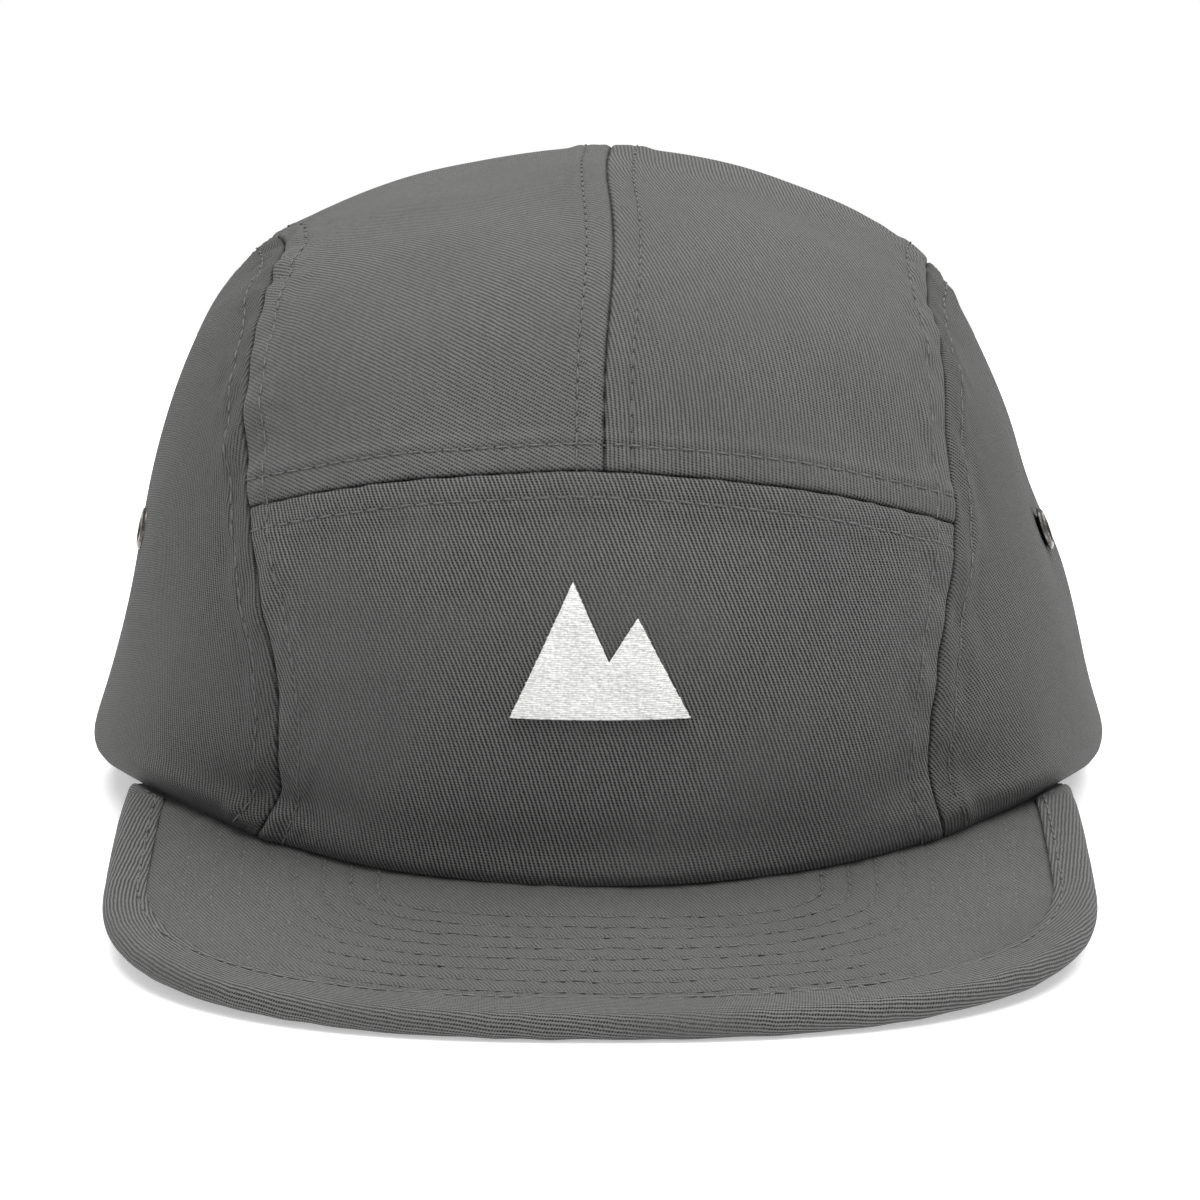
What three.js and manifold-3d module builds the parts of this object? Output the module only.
// Five panel cap: a soft cotton crown of five panels on a flat peak, resting on the peak's tip and the back
// of its hem. Millimetres, +Z up, -Y the front, +X the right hand side as seen from the front.
import * as THREE from "three";
import { mergeVertices } from "three/addons/utils/BufferGeometryUtils.js";
import Module from "manifold-3d";

const wasm = await Module();
wasm.setup();

// Crown
const BAND_HALF_WIDTH = 92;
const BAND_HALF_DEPTH = 95;
const CROWN_HEIGHT = 108.8;
const HEM_LIFT = 8.5;
const CLOTH = 2;
const SEAM_GAP = 0.4;
const FOLD_DEPTH = 2;

// Sweatband
const SWEATBAND_HEIGHT = 28;
const SWEATBAND_THICKNESS = 1;
const SWEATBAND_GAP = 0.7;
const SWEATBAND_END_SPACE = 2;

// Peak and its binding
const PEAK_LENGTH = 61;
const PEAK_HALF_WIDTH = 86;
const PEAK_BOARD = 2;
const PEAK_GAP = 0.3;
const PEAK_SEAT = 5;
const BINDING_THICKNESS = 1;
const BINDING_SIDE_WIDTH = 7.4;
const BINDING_FRONT_WIDTH = 11;
const BINDING_HEM_SPACE = 1.2;

// Opening and closure at the back
const OPENING_WIDTH = 72;
const OPENING_HEIGHT = 46;
const STRAP_WIDTH = 20;
const STRAP_THICKNESS = 1.4;
const STRAP_GAP = 0.4;
const STRAP_SEWN_LENGTH = 9;
const STRAP_TAIL_LENGTH = 16;
const BUCKLE_WIDTH = 30;
const BUCKLE_BODY_THICKNESS = 6;
const BUCKLE_BAR = 2;
const BUCKLE_RIM = 2;
const BUCKLE_EDGE = 0.8;
const BUCKLE_CLEARANCE = 0.4;
const BUCKLE_FLOOR_SPACE = 0.6;

// Eyelets
const EYELET_RADIUS = 4;
const EYELET_HOLE_RADIUS = 2.1;
const EYELET_METAL = 0.5;
const EYELET_GAP = 0.4;
const EYELET_TURN = 79;
const EYELET_HEIGHT = 47.6;

// Embroidered emblem on the front panel
const EMBLEM_WIDTH = 31;
const EMBLEM_HEIGHT = 25;
const EMBLEM_THICKNESS = 0.8;
const EMBLEM_GAP = 0.3;
const EMBLEM_FOOT_HEIGHT = 32;

const COLORS = {
  cloth: 0x6b6b6a,
  band: 0x5f5f5e,
  strap: 0x3f3f40,
  plastic: 0x222223,
  metal: 0x4a4744,
  thread: 0xe6e6e4,
};

// The crown's rings from the hem to the top: rise as a share of the crown's height, width, depth, lean to the
// side and shift to the back as shares of the band's half width and half depth, and how square the ring is.
const CROWN_RINGS = [
  { rise: 0, width: 1, depth: 1, lean: 0, back: 0, square: 0 },
  { rise: 0.05, width: 1.015, depth: 1.016, lean: 0, back: 0.002, square: 0.004 },
  { rise: 0.14, width: 0.986, depth: 1.019, lean: 0, back: 0.005, square: 0.012 },
  { rise: 0.3, width: 0.939, depth: 1, lean: -0.001, back: 0.011, square: 0.02 },
  { rise: 0.5, width: 0.87, depth: 0.953, lean: -0.019, back: 0.019, square: 0.024 },
  { rise: 0.68, width: 0.797, depth: 0.858, lean: -0.03, back: 0.027, square: 0.024 },
  { rise: 0.82, width: 0.67, depth: 0.737, lean: -0.033, back: 0.027, square: 0.018 },
  { rise: 0.92, width: 0.414, depth: 0.537, lean: -0.018, back: 0.013, square: 0.01 },
  { rise: 0.98, width: 0.145, depth: 0.268, lean: -0.01, back: -0.016, square: 0.004 },
  { rise: 1, width: 0, depth: 0, lean: -0.01, back: -0.032, square: 0 },
];

// Height of the hem line from the front of the band to its back, as a share of the hem's lift at the front.
const HEM_LINE = [
  { along: -1, lift: 1 },
  { along: -0.86, lift: 1.13 },
  { along: -0.57, lift: 1.35 },
  { along: -0.31, lift: 1.14 },
  { along: 0, lift: 0.53 },
  { along: 0.42, lift: 0.06 },
  { along: 0.74, lift: 0 },
  { along: 1, lift: 0 },
];

// Half the distance between the side seams on the flattened crown, whose hem is a circle of radius 1, from
// the front of the hem over the top to its back.
const SIDE_SEAMS = [
  { way: 0, apart: 0.654 },
  { way: 0.08, apart: 0.562 },
  { way: 0.15, apart: 0.489 },
  { way: 0.22, apart: 0.432 },
  { way: 0.3, apart: 0.405 },
  { way: 0.37, apart: 0.355 },
  { way: 0.5, apart: 0.319 },
  { way: 0.64, apart: 0.357 },
  { way: 0.79, apart: 0.409 },
  { way: 0.93, apart: 0.466 },
  { way: 1, apart: 0.522 },
];
const STRIP_DRIFT = 0.021;
const CENTRE_DRIFT = 0.012;
const ARCH_MIDDLE = 0.267;
const ARCH_END = 0.3;

// Dents and swells of the soft crown: turn and width in degrees from the front, climb and height as shares of
// the way from hem to top, and push as a share of the fold depth, inwards where it is negative.
const FOLDS = [
  { turn: -38, climb: 0.16, wide: 9, tall: 0.05, push: -0.8 },
  { turn: 40, climb: 0.2, wide: 9, tall: 0.05, push: -0.8 },
  { turn: -58, climb: 0.09, wide: 14, tall: 0.05, push: 0.6 },
  { turn: 60, climb: 0.1, wide: 14, tall: 0.05, push: 0.6 },
  { turn: -68, climb: 0.6, wide: 10, tall: 0.05, push: -0.5 },
  { turn: 76, climb: 0.6, wide: 10, tall: 0.05, push: -0.6 },
  { turn: 84, climb: 0.42, wide: 9, tall: 0.04, push: -0.5 },
  { turn: 0, climb: 0.12, wide: 24, tall: 0.07, push: -0.4 },
  { turn: 150, climb: 0.4, wide: 16, tall: 0.06, push: -0.5 },
  { turn: -146, climb: 0.45, wide: 16, tall: 0.06, push: -0.4 },
];

// Skyline of the emblem, two plain hills: across and high, as shares of half its width and of its height.
const EMBLEM_SKYLINE = [
  { across: -1, high: 0 },
  { across: -0.3, high: 1 },
  { across: 0.1, high: 0.42 },
  { across: 0.42, high: 0.74 },
  { across: 1, high: 0 },
];

const DEGREE = Math.PI / 180;
const up = new THREE.Vector3(0, 0, 1);

// Shares that place the peak's corners and outline, the binding's ends and the grid lines of the top panels.
const PEAK_TURN = 65 * DEGREE;
const PEAK_SQUARENESS = 2.45;
const PEAK_CORNER_WIDTH = 0.985;
const PEAK_FRONT_SHARE = 0.66;
const BINDING_END = 0.965;
const TOP_JOIN = 0.7;
const OPENING_SHARE = 0.72;

// Steps of the grids that the pieces are made of
const SEAM_STEPS = 40;
const FRONT_COLUMNS = 16;
const TOP_COLUMNS = 8;
const SIDE_COLUMNS = 18;
const BAND_COLUMNS = 44;
const BAND_ROWS = 3;
const PEAK_COLUMNS = 32;
const PEAK_ROWS = 5;
const BINDING_STEPS = 40;
const EYELET_SIDES = 14;
const STRAP_STEPS = 8;
const TAIL_STEPS = 4;
const CORNER_STEPS = 4;
const EMBLEM_COLUMNS = 25;
const EMBLEM_ROWS = 3;

function mix(a, b, share) {
  return a + (b - a) * share;
}

// Second derivatives of the cubic spline through the points, with a straight or a given slope at each end.
function bends(xs, ys, startSlope, endSlope) {
  const last = xs.length - 1;
  const diagonal = xs.map(() => 2);
  const above = xs.map(() => 0);
  const right = xs.map(() => 0);
  const below = xs.map(() => 0);
  const slope = (i) => (ys[i + 1] - ys[i]) / (xs[i + 1] - xs[i]);
  for (let i = 1; i < last; i++) {
    const span = xs[i + 1] - xs[i - 1];
    below[i] = (xs[i] - xs[i - 1]) / span;
    above[i] = (xs[i + 1] - xs[i]) / span;
    right[i] = (6 * (slope(i) - slope(i - 1))) / span;
  }
  if (startSlope !== undefined) {
    above[0] = 1;
    right[0] = (6 * (slope(0) - startSlope)) / (xs[1] - xs[0]);
  }
  if (endSlope !== undefined) {
    below[last] = 1;
    right[last] = (6 * (endSlope - slope(last - 1))) / (xs[last] - xs[last - 1]);
  }
  for (let i = 1; i <= last; i++) {
    const factor = below[i] / diagonal[i - 1];
    diagonal[i] -= factor * above[i - 1];
    right[i] -= factor * right[i - 1];
  }
  const bend = xs.map(() => 0);
  bend[last] = right[last] / diagonal[last];
  for (let i = last - 1; i >= 0; i--) bend[i] = (right[i] - above[i] * bend[i + 1]) / diagonal[i];
  return bend;
}

// A smooth function through the points (cubic spline), straight beyond its ends.
function smooth(xs, ys, startSlope, endSlope) {
  const bend = bends(xs, ys, startSlope, endSlope);
  return (x) => {
    let i = 0;
    while (i < xs.length - 2 && x > xs[i + 1]) i++;
    const span = xs[i + 1] - xs[i];
    const b = THREE.MathUtils.clamp((x - xs[i]) / span, 0, 1);
    const a = 1 - b;
    const beyond = x - xs[i] - b * span;
    const slopeBend = (3 * b * b - 1) * bend[i + 1] - (3 * a * a - 1) * bend[i];
    const slope = (ys[i + 1] - ys[i]) / span + (slopeBend * span) / 6;
    const swell = (a ** 3 - a) * bend[i] + (b ** 3 - b) * bend[i + 1];
    return a * ys[i] + b * ys[i + 1] + (swell * span ** 2) / 6 + beyond * slope;
  };
}

const ringSteps = CROWN_RINGS.map((_, i) => i / (CROWN_RINGS.length - 1));
const ringColumn = (name, endSlope) =>
  smooth(ringSteps, CROWN_RINGS.map((ring) => ring[name]), undefined, endSlope);
const ringRise = ringColumn("rise", 0);
const ringWidth = ringColumn("width");
const ringDepth = ringColumn("depth");
const ringLean = ringColumn("lean", 0);
const ringBack = ringColumn("back", 0);
const ringSquare = ringColumn("square", 0);
const seamApart = smooth(SIDE_SEAMS.map((row) => row.way), SIDE_SEAMS.map((row) => row.apart));

// The tip's binding stands on the surface, and the peak rises from there to the hem's lift.
const tipTop = BINDING_THICKNESS + PEAK_GAP + PEAK_BOARD;
const peakSlope = (HEM_LIFT - PEAK_GAP - tipTop) / PEAK_LENGTH;
const hemLine = smooth(
  HEM_LINE.map((row) => row.along * BAND_HALF_DEPTH),
  HEM_LINE.map((row) => row.lift * HEM_LIFT),
  peakSlope,
  0,
);
const hemHeight = (y) => Math.max(0, hemLine(y));

// How far the folds push the cloth out at a place on the crown.
function foldPush(turn, climb) {
  return FOLDS.reduce((sum, fold) => {
    const across = (turn / DEGREE - fold.turn) / fold.wide;
    const upwards = (climb - fold.climb) / fold.tall;
    return sum + fold.push * FOLD_DEPTH * Math.exp(-across * across - upwards * upwards);
  }, 0);
}

// The crown's outer face before its folds, from a place on the flattened crown.
function smoothCrown(flat) {
  const turn = Math.atan2(flat.x, -flat.y);
  const climb = 1 - Math.hypot(flat.x, flat.y);
  const square = ringSquare(climb);
  const swell = (1 - square * Math.cos(4 * turn)) / (1 - square);
  const rise = ringRise(climb);
  return new THREE.Vector3(
    BAND_HALF_WIDTH * (ringLean(climb) + ringWidth(climb) * Math.sin(turn) * swell),
    BAND_HALF_DEPTH * (ringBack(climb) - ringDepth(climb) * Math.cos(turn) * swell),
    mix(hemHeight(-BAND_HALF_DEPTH * Math.cos(turn)), HEM_LIFT + CROWN_HEIGHT, rise),
  );
}

function crownNormal(flat) {
  const step = 0.004;
  const along = (dx, dy) =>
    smoothCrown({ x: flat.x + dx, y: flat.y + dy }).sub(smoothCrown({ x: flat.x - dx, y: flat.y - dy }));
  return along(step, 0).cross(along(0, step)).normalize();
}

// A point of the crown's wall, set in from the outer face, with the hem's edge on the hem line.
function crownPoint(flat, inset) {
  const turn = Math.atan2(flat.x, -flat.y);
  const climb = 1 - Math.hypot(flat.x, flat.y);
  const hemShare = Math.min(1, Math.max(0, climb) / ringSteps[1]);
  const normal = crownNormal(flat);
  normal.z *= hemShare;
  const outward = foldPush(turn, climb) * hemShare - inset;
  const point = smoothCrown(flat).addScaledVector(normal.normalize(), outward);
  if (climb < 1e-6) point.z = hemHeight(point.y);
  return point;
}

// Places on the flattened crown: the strip of front and top panels, and the side panels beside it.
function stripPlace(across, way) {
  const x = across * seamApart(way) + STRIP_DRIFT * Math.sin(Math.PI * way);
  return { x, y: (2 * way - 1) * Math.sqrt(1 - x * x) };
}

function gapShare(way) {
  const place = stripPlace(1, way);
  const out = Math.hypot(place.x, place.y);
  return SEAM_GAP / 2 / ((seamApart(way) * BAND_HALF_WIDTH * ringWidth(1 - out)) / out);
}

const waysPerGap = SEAM_GAP / 2 / (4 * BAND_HALF_DEPTH);
const archWay = (across) => mix(ARCH_MIDDLE, ARCH_END, across * across);
const centreSeam = (way) => (CENTRE_DRIFT * (1 - way)) / (1 - ARCH_MIDDLE);

function frontPlace(across, share) {
  const way = share * (archWay(across) - waysPerGap);
  return stripPlace(across * (1 - gapShare(way)), way);
}

function climbAtHeight(height) {
  let low = 0;
  let high = 1;
  for (let i = 0; i < 40; i++) {
    const middle = (low + high) / 2;
    if (ringRise(middle) * (HEM_LIFT + CROWN_HEIGHT) < height) low = middle;
    else high = middle;
  }
  return low;
}

// A place on the crown at a distance from its middle plane and a height above the hem, facing -1 to the front
// or 1 to the back.
function placeAt(x, height, facing) {
  const climb = climbAtHeight(height);
  const side = (x / BAND_HALF_WIDTH - ringLean(climb)) / ringWidth(climb);
  return { x: (1 - climb) * side, y: facing * (1 - climb) * Math.sqrt(1 - side * side) };
}

// The lower edge of a top panel: round the opening's arch, then along the hem to the side seam.
function topPanelEdge(side, share) {
  if (share < OPENING_SHARE) {
    const angle = (share / OPENING_SHARE) * (Math.PI / 2);
    const x = Math.max((OPENING_WIDTH / 2) * Math.sin(angle), SEAM_GAP / 2);
    return placeAt(side * x, OPENING_HEIGHT * Math.cos(angle), 1);
  }
  const foot = placeAt((side * OPENING_WIDTH) / 2, 0, 1);
  const seam = stripPlace(side * (1 - gapShare(1)), 1);
  const x = mix(foot.x, seam.x, (share - OPENING_SHARE) / (1 - OPENING_SHARE));
  return { x, y: Math.sqrt(1 - x * x) };
}

function topPlace(side, share, down) {
  const seamWay = mix(ARCH_END, 1, down);
  const acrossAt = (way) => {
    const halfGap = gapShare(way);
    return mix(centreSeam(way) + side * halfGap, side * (1 - halfGap), share);
  };
  const start = archWay(acrossAt(ARCH_MIDDLE)) + waysPerGap;
  const way = mix(start, TOP_JOIN, Math.min((seamWay - ARCH_END) / (TOP_JOIN - ARCH_END), 1));
  const place = stripPlace(acrossAt(way), way);
  if (seamWay <= TOP_JOIN) return place;
  const lower = (seamWay - TOP_JOIN) / (1 - TOP_JOIN);
  const edge = topPanelEdge(side, share);
  const seam = stripPlace(side * (1 - gapShare(seamWay)), seamWay);
  const seamStart = stripPlace(side * (1 - gapShare(TOP_JOIN)), TOP_JOIN);
  const seamEnd = topPanelEdge(side, 1);
  const follow = (axis) => share * share * (seam[axis] - mix(seamStart[axis], seamEnd[axis], lower));
  return { x: mix(place.x, edge.x, lower) + follow("x"), y: mix(place.y, edge.y, lower) + follow("y") };
}

function sidePlace(side, along, up) {
  const seamAt = (way) => stripPlace(side * (1 + gapShare(way)), way);
  const front = seamAt(up / 2);
  const back = seamAt(1 - up / 2);
  const turn = mix(Math.atan2(front.x, -front.y), Math.atan2(back.x, -back.y), along);
  const out = mix(Math.hypot(front.x, front.y), Math.hypot(back.x, back.y), along);
  return { x: out * Math.sin(turn), y: -out * Math.cos(turn) };
}

// A geometry with its shared corners welded and its collapsed triangles left out.
function welded(geometry) {
  const bare = new THREE.BufferGeometry();
  bare.setAttribute("position", geometry.getAttribute("position"));
  bare.setIndex(geometry.getIndex());
  const merged = mergeVertices(bare, 1e-3);
  const index = Array.from(merged.index.array);
  const kept = [];
  for (let i = 0; i < index.length; i += 3) {
    const [a, b, c] = index.slice(i, i + 3);
    if (a !== b && b !== c && c !== a) kept.push(a, b, c);
  }
  merged.setIndex(kept);
  return merged;
}

function surface(points, faces) {
  const loose = new THREE.BufferGeometry().setFromPoints(points);
  loose.setIndex(faces.flat());
  return welded(loose);
}

// A closed wall between two faces over one grid: outer and inner give a point for shares across and along.
// Flipped is for a grid whose outer face would look inwards.
function wall(outer, inner, columns, rows, flipped) {
  const positions = [];
  for (const face of [outer, inner]) {
    for (let j = 0; j <= rows; j++) {
      for (let i = 0; i <= columns; i++) positions.push(face(i / columns, j / rows));
    }
  }
  const layer = (columns + 1) * (rows + 1);
  const at = (i, j) => j * (columns + 1) + i;
  const faces = [];
  const quad = (a, b, c, d) => faces.push([a, b, c], [a, c, d]);
  for (let j = 0; j < rows; j++) {
    for (let i = 0; i < columns; i++) {
      quad(at(i, j), at(i + 1, j), at(i + 1, j + 1), at(i, j + 1));
      quad(layer + at(i, j), layer + at(i, j + 1), layer + at(i + 1, j + 1), layer + at(i + 1, j));
    }
  }
  const border = [];
  for (let i = 0; i < columns; i++) border.push(at(i, 0));
  for (let j = 0; j < rows; j++) border.push(at(columns, j));
  for (let i = columns; i > 0; i--) border.push(at(i, rows));
  for (let j = rows; j > 0; j--) border.push(at(0, j));
  border.forEach((a, i) => {
    const b = border[(i + 1) % border.length];
    quad(a, layer + a, layer + b, b);
  });
  return surface(positions, flipped ? faces.map((face) => face.reverse()) : faces);
}

// A closed body lofted through rings of points, with its two end rings filled.
function loft(rings, outline) {
  const size = outline.length;
  const faces = [];
  for (let j = 0; j < rings.length - 1; j++) {
    for (let i = 0; i < size; i++) {
      const a = j * size + i;
      const b = j * size + ((i + 1) % size);
      faces.push([a, b, b + size], [a, b + size, a + size]);
    }
  }
  const lastRing = (rings.length - 1) * size;
  THREE.ShapeUtils.triangulateShape(outline, []).forEach(([a, b, c]) => {
    faces.push([a, b, c]);
    faces.push([lastRing + a, lastRing + c, lastRing + b]);
  });
  return surface(rings.flat(), faces);
}

function solidOf(geometry) {
  const closed = welded(geometry);
  const mesh = new wasm.Mesh({
    numProp: 3,
    vertProperties: closed.getAttribute("position").array,
    triVerts: new Uint32Array(closed.index.array),
  });
  return new wasm.Manifold(mesh);
}

function geometryOf(solid) {
  const mesh = solid.getMesh();
  const geometry = new THREE.BufferGeometry();
  geometry.setAttribute("position", new THREE.BufferAttribute(mesh.vertProperties, 3));
  geometry.setIndex(new THREE.BufferAttribute(mesh.triVerts, 1));
  return geometry;
}

function material(color, roughness, metalness) {
  return new THREE.MeshStandardMaterial({ color, roughness, metalness });
}

function named(name, geometry, finish) {
  const mesh = new THREE.Mesh(geometry, finish);
  mesh.name = name;
  return mesh;
}

const cloth = () => material(COLORS.cloth, 0.95, 0);

function crownWall(place, columns, rows, flipped) {
  const face = (inset) => (i, j) => crownPoint(place(i, j), inset);
  return wall(face(0), face(CLOTH), columns, rows, flipped);
}

function frontPanel() {
  const place = (i, j) => frontPlace(mix(-1, 1, i), j);
  const rows = Math.round(ARCH_END * SEAM_STEPS);
  return named("front_panel", crownWall(place, FRONT_COLUMNS, rows, false), cloth());
}

function topPanel(name, side) {
  const place = (i, j) => topPlace(side, i, j);
  const rows = Math.round((1 - ARCH_END) * SEAM_STEPS);
  return named(name, crownWall(place, TOP_COLUMNS, rows, side < 0), cloth());
}

// Where an eyelet sits: its middle on the crown and the way that it faces.
function eyeletSeat(side) {
  const climb = climbAtHeight(EYELET_HEIGHT);
  const turn = side * EYELET_TURN * DEGREE;
  const flat = { x: (1 - climb) * Math.sin(turn), y: -(1 - climb) * Math.cos(turn) };
  const facing = new THREE.Quaternion().setFromUnitVectors(new THREE.Vector3(0, 1, 0), crownNormal(flat));
  return new THREE.Matrix4().compose(crownPoint(flat, CLOTH / 2), facing, new THREE.Vector3(1, 1, 1));
}

function sidePanel(name, side) {
  const place = (i, j) => sidePlace(side, i, j);
  const body = solidOf(crownWall(place, SIDE_COLUMNS, SEAM_STEPS / 2, side < 0));
  const hole = EYELET_HOLE_RADIUS + EYELET_METAL + EYELET_GAP;
  const punch = new THREE.CylinderGeometry(hole, hole, 6 * CLOTH, EYELET_SIDES);
  punch.applyMatrix4(eyeletSeat(side));
  return named(name, geometryOf(body.subtract(solidOf(punch))), cloth());
}

// A rolled metal ring through the side panel: a barrel with a flange on each face of the cloth.
function eyelet(name, side) {
  const seat = CLOTH / 2 + EYELET_GAP;
  const face = seat + EYELET_METAL;
  const barrel = EYELET_HOLE_RADIUS + EYELET_METAL;
  const profile = [
    [EYELET_HOLE_RADIUS, -face + EYELET_METAL / 2],
    [EYELET_HOLE_RADIUS, face - EYELET_METAL / 2],
    [EYELET_HOLE_RADIUS + EYELET_METAL / 2, face],
    [EYELET_RADIUS - EYELET_METAL / 2, face],
    [EYELET_RADIUS, face - EYELET_METAL / 2],
    [EYELET_RADIUS, seat],
    [barrel, seat],
    [barrel, -seat],
    [EYELET_RADIUS, -seat],
    [EYELET_RADIUS, -face + EYELET_METAL / 2],
    [EYELET_RADIUS - EYELET_METAL / 2, -face],
    [EYELET_HOLE_RADIUS + EYELET_METAL / 2, -face],
    [EYELET_HOLE_RADIUS, -face + EYELET_METAL / 2],
  ];
  const points = profile.map(([radius, height]) => new THREE.Vector2(radius, height)).reverse();
  const ring = new THREE.LatheGeometry(points, EYELET_SIDES);
  const mesh = named(name, ring, material(COLORS.metal, 0.35, 1));
  mesh.applyMatrix4(eyeletSeat(side));
  return mesh;
}

// The band inside the hem, open at the back where the closure runs.
function sweatband() {
  const endX = OPENING_WIDTH / 2 + STRAP_SEWN_LENGTH + SWEATBAND_END_SPACE;
  const endTurn = Math.PI - Math.asin(endX / BAND_HALF_WIDTH);
  const topClimb = climbAtHeight(SWEATBAND_HEIGHT);
  const bandFace = (inset) => (i, j) => {
    const turn = mix(-endTurn, endTurn, i);
    const out = 1 - j * topClimb;
    return crownPoint({ x: out * Math.sin(turn), y: -out * Math.cos(turn) }, CLOTH + SWEATBAND_GAP + inset);
  };
  const geometry = wall(bandFace(0), bandFace(SWEATBAND_THICKNESS), BAND_COLUMNS, BAND_ROWS, false);
  return named("sweatband", geometry, material(COLORS.band, 0.95, 0));
}

// Outline of the peak in plan, set in from its edge: share runs from -1 at one corner to 1 at the other.
function peakEdge(share, inset) {
  const side = Math.sign(share);
  const run = Math.abs(share);
  const cornerY = -BAND_HALF_DEPTH * Math.cos(PEAK_TURN);
  const halfWidth = PEAK_HALF_WIDTH - inset;
  if (run > PEAK_FRONT_SHARE) {
    const back = (run - PEAK_FRONT_SHARE) / (1 - PEAK_FRONT_SHARE);
    const x = halfWidth * mix(1, PEAK_CORNER_WIDTH, back * back);
    return new THREE.Vector2(side * x, mix(-BAND_HALF_DEPTH, cornerY, back));
  }
  const angle = (run / PEAK_FRONT_SHARE) * (Math.PI / 2);
  const power = 2 / PEAK_SQUARENESS;
  const x = halfWidth * Math.sin(angle) ** power;
  return new THREE.Vector2(side * x, -BAND_HALF_DEPTH - (PEAK_LENGTH - inset) * Math.cos(angle) ** power);
}

const peakTop = (point) => new THREE.Vector3(point.x, point.y, hemLine(point.y) - PEAK_GAP);

function peak() {
  const edgeInset = BINDING_THICKNESS + PEAK_GAP;
  const seat = (share) => {
    const turn = share * PEAK_TURN;
    const x = (BAND_HALF_WIDTH - PEAK_SEAT) * Math.sin(turn);
    return new THREE.Vector2(x, -(BAND_HALF_DEPTH - PEAK_SEAT) * Math.cos(turn));
  };
  const top = (i, j) => {
    const share = mix(-1, 1, i);
    return peakTop(peakEdge(share, edgeInset).lerp(seat(share), j));
  };
  const bottom = (i, j) => top(i, j).addScaledVector(up, -PEAK_BOARD);
  return named("peak", wall(top, bottom, PEAK_COLUMNS, PEAK_ROWS, false), cloth());
}

// Width of the binding at a place on the peak's edge: it narrows at the corners to stay clear of the hem.
function bindingWidth(share) {
  const edge = peakEdge(share, 0);
  const back = Math.max(0, 1 - (edge.y / BAND_HALF_DEPTH) ** 2);
  const room = Math.abs(edge.x) - BAND_HALF_WIDTH * Math.sqrt(back) - BINDING_HEM_SPACE;
  const aside = Math.min(1, Math.abs(share) / PEAK_FRONT_SHARE);
  const width = mix(BINDING_FRONT_WIDTH, BINDING_SIDE_WIDTH, aside ** 2);
  return edge.y > -BAND_HALF_DEPTH ? Math.min(width, room) : width;
}

// A strip folded round the peak's edge, wider at the front than at the sides.
function peakBinding() {
  const half = PEAK_BOARD / 2 + PEAK_GAP;
  const face = half + BINDING_THICKNESS;
  const round = BINDING_THICKNESS / 2;
  const section = (width) => [
    [width, face],
    [round, face],
    [0, face - round],
    [0, round - face],
    [round, -face],
    [width, -face],
    [width, -half],
    [BINDING_THICKNESS, -half],
    [BINDING_THICKNESS, half],
    [width, half],
  ];
  const rings = [];
  for (let i = 0; i <= BINDING_STEPS; i++) {
    const share = mix(-BINDING_END, BINDING_END, i / BINDING_STEPS);
    const ring = section(bindingWidth(share)).map(([inward, height]) =>
      peakTop(peakEdge(share, inward)).addScaledVector(up, height - PEAK_BOARD / 2),
    );
    rings.push(ring);
  }
  const outline = section(BINDING_FRONT_WIDTH).map(([x, height]) => new THREE.Vector2(-x, height));
  return named("peak_binding", loft(rings, outline), cloth());
}

// The strap's line in plan, just inside the hem, and the bar of the buckle that it turns round.
const strapInset = CLOTH + STRAP_GAP + STRAP_THICKNESS / 2;
const barX = (BUCKLE_WIDTH - BUCKLE_BAR) / 2;
const barReach = BUCKLE_BAR / Math.SQRT2 + BUCKLE_CLEARANCE;
const turnRadius = barReach + STRAP_THICKNESS / 2;
const strapBottom = BUCKLE_FLOOR_SPACE + BUCKLE_RIM + BUCKLE_CLEARANCE;

function strapLineY(x, inset) {
  return (BAND_HALF_DEPTH - inset) * Math.sqrt(1 - (x / (BAND_HALF_WIDTH - inset)) ** 2);
}
const barY = strapLineY(barX, strapInset) - turnRadius;

// A strap from inside the hem to the buckle, turned round its bar and folded back on the head's side.
function strap(name, side) {
  const line = [];
  const sewnX = OPENING_WIDTH / 2 + STRAP_SEWN_LENGTH;
  for (let i = 0; i < STRAP_STEPS; i++) {
    const x = mix(sewnX, barX, i / STRAP_STEPS);
    line.push(new THREE.Vector2(x, strapLineY(x, strapInset)));
  }
  for (let i = 0; i <= STRAP_STEPS; i++) {
    const angle = Math.PI * (0.5 + i / STRAP_STEPS);
    const spot = new THREE.Vector2(Math.cos(angle), Math.sin(angle)).multiplyScalar(turnRadius);
    line.push(spot.add(new THREE.Vector2(barX, barY)));
  }
  for (let i = 1; i <= TAIL_STEPS; i++) {
    const x = barX + (STRAP_TAIL_LENGTH * i) / TAIL_STEPS;
    line.push(new THREE.Vector2(x, strapLineY(x, strapInset) - 2 * turnRadius));
  }
  const offset = (distance) =>
    line.map((point, i) => {
      const next = line[Math.min(i + 1, line.length - 1)];
      const along = next.clone().sub(line[Math.max(i - 1, 0)]).normalize();
      return new THREE.Vector2(point.x - along.y * distance, point.y + along.x * distance);
    });
  const outline = [...offset(STRAP_THICKNESS / 2), ...offset(-STRAP_THICKNESS / 2).reverse()];
  const shape = new THREE.Shape(outline.map((point) => new THREE.Vector2(side * point.x, point.y)));
  const geometry = new THREE.ExtrudeGeometry(shape, { depth: STRAP_WIDTH, bevelEnabled: false });
  geometry.translate(0, 0, strapBottom);
  return named(name, geometry, material(COLORS.strap, 0.8, 0));
}

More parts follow.
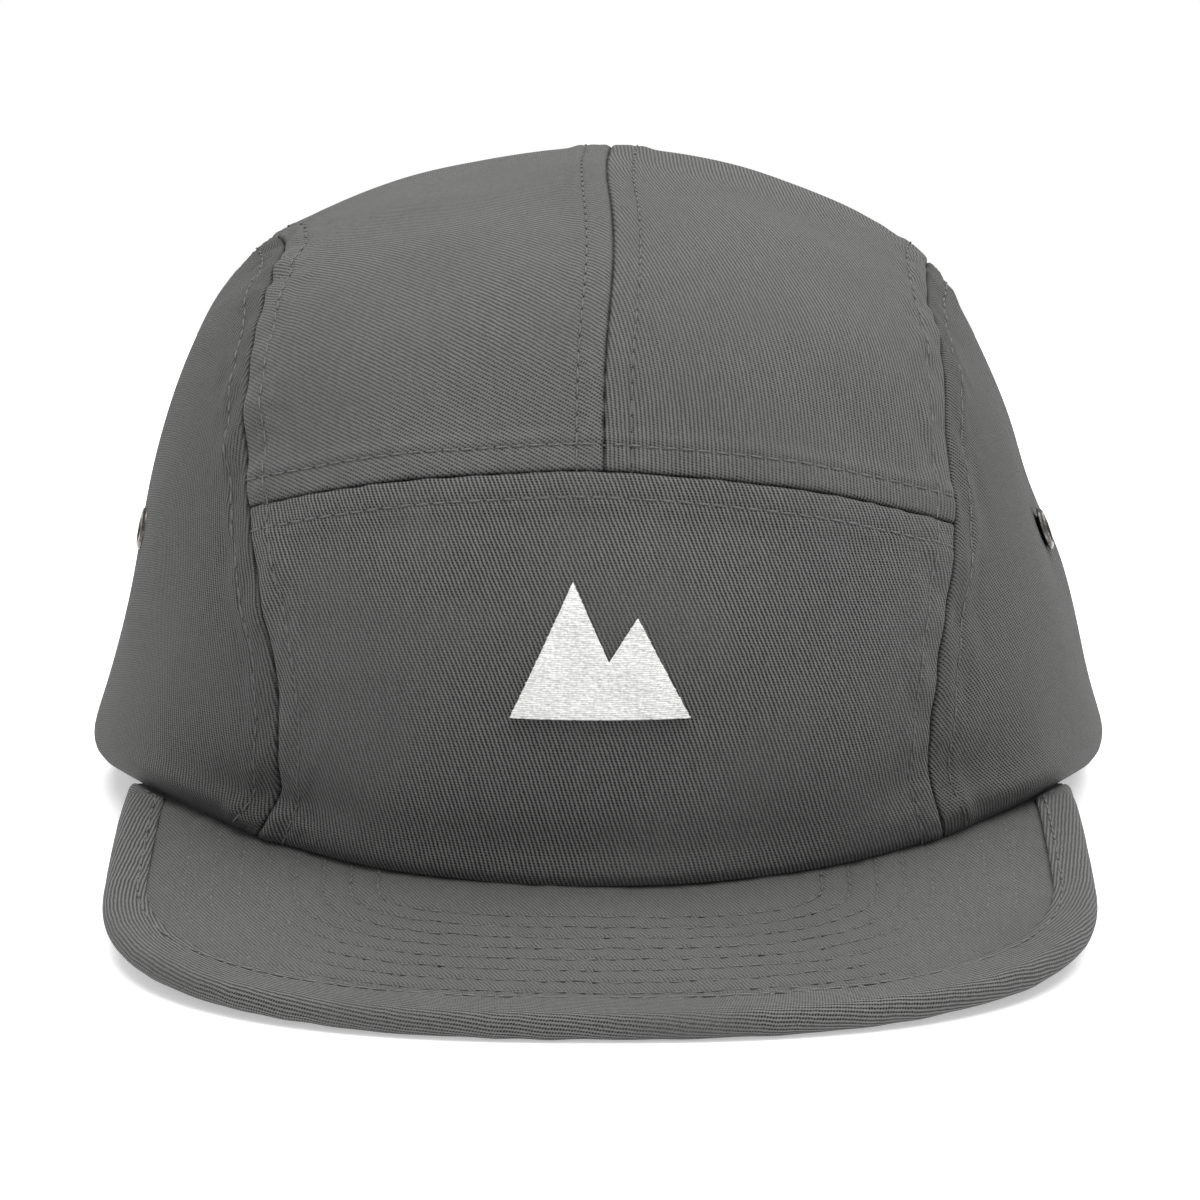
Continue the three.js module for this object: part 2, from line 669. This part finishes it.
// A rectangle with round corners, about the middle.
function roundedBox(width, height, round) {
  const shape = new THREE.Shape();
  const right = width / 2 - round;
  const top = height / 2 - round;
  shape.absarc(right, -top, round, -Math.PI / 2, 0);
  shape.absarc(right, top, round, 0, Math.PI / 2);
  shape.absarc(-right, top, round, Math.PI / 2, Math.PI);
  shape.absarc(-right, -top, round, Math.PI, (3 * Math.PI) / 2);
  return shape;
}

// The closure's buckle as one plain piece: a flat frame with a bar at each end and a thicker middle.
function buckle() {
  const height = STRAP_WIDTH + 2 * (BUCKLE_RIM + BUCKLE_CLEARANCE);
  const slotEnd = barX - BUCKLE_BAR / 2;
  const slotStart = barX - turnRadius - STRAP_THICKNESS / 2 - BUCKLE_CLEARANCE;
  const slotTop = height / 2 - BUCKLE_RIM;
  const flat = new THREE.ExtrudeGeometry(roundedBox(BUCKLE_WIDTH, height, BUCKLE_BAR), {
    depth: BUCKLE_BAR,
    bevelEnabled: false,
    curveSegments: CORNER_STEPS,
  });
  flat.translate(0, 0, -BUCKLE_BAR / 2);
  let frame = solidOf(flat);
  for (const side of [-1, 1]) {
    const slot = new THREE.BoxGeometry(slotEnd - slotStart, 2 * slotTop, 2 * BUCKLE_BAR);
    slot.translate((side * (slotStart + slotEnd)) / 2, 0, 0);
    frame = frame.subtract(solidOf(slot));
  }
  const bodyWidth = 2 * (slotStart - BUCKLE_CLEARANCE - BUCKLE_EDGE);
  const bodyDepth = BUCKLE_BODY_THICKNESS - 2 * BUCKLE_EDGE;
  const bodyShape = roundedBox(bodyWidth, height - 2 * BUCKLE_EDGE, BUCKLE_BAR);
  const body = new THREE.ExtrudeGeometry(bodyShape, {
    depth: bodyDepth,
    bevelThickness: BUCKLE_EDGE,
    bevelSize: BUCKLE_EDGE,
    bevelSegments: 2,
    curveSegments: CORNER_STEPS,
  });
  body.translate(0, 0, -bodyDepth / 2);
  const joined = geometryOf(frame.add(solidOf(body)));
  const mesh = named("buckle", joined, material(COLORS.plastic, 0.4, 0));
  mesh.rotation.x = Math.PI / 2;
  mesh.position.set(0, barY, strapBottom + STRAP_WIDTH / 2);
  return mesh;
}

// Height of the emblem's skyline at a share across it, as a share of its height.
function skyline(across) {
  const next = Math.max(1, EMBLEM_SKYLINE.findIndex((row) => row.across >= across - 1e-9));
  const [a, b] = [EMBLEM_SKYLINE[next - 1], EMBLEM_SKYLINE[next]];
  return mix(a.high, b.high, (across - a.across) / (b.across - a.across));
}

// The emblem as one thin pad that follows the front panel.
function emblem() {
  const face = (inset) => (i, j) => {
    const across = mix(-1, 1, i);
    const height = EMBLEM_FOOT_HEIGHT + j * skyline(across) * EMBLEM_HEIGHT;
    return crownPoint(placeAt((across * EMBLEM_WIDTH) / 2, height, -1), inset);
  };
  const back = -EMBLEM_GAP;
  const geometry = wall(face(back - EMBLEM_THICKNESS), face(back), EMBLEM_COLUMNS, EMBLEM_ROWS, false);
  return named("emblem", geometry, material(COLORS.thread, 0.6, 0));
}

const assembly = new THREE.Group();
assembly.add(
  frontPanel(),
  topPanel("top_panel_left", -1),
  topPanel("top_panel_right", 1),
  sidePanel("side_panel_left", -1),
  sidePanel("side_panel_right", 1),
  sweatband(),
  peak(),
  peakBinding(),
  strap("strap_left", -1),
  strap("strap_right", 1),
  buckle(),
  eyelet("eyelet_left", -1),
  eyelet("eyelet_right", 1),
  emblem(),
);

// The origin is the middle of the cap's box, on the surface that it rests on.
const extent = new THREE.Box3().setFromObject(assembly, true);
const middle = extent.getCenter(new THREE.Vector3());
assembly.position.set(-middle.x, -middle.y, -extent.min.z);
const cap = new THREE.Group();
cap.add(assembly);
cap.updateMatrixWorld(true);

export default cap;
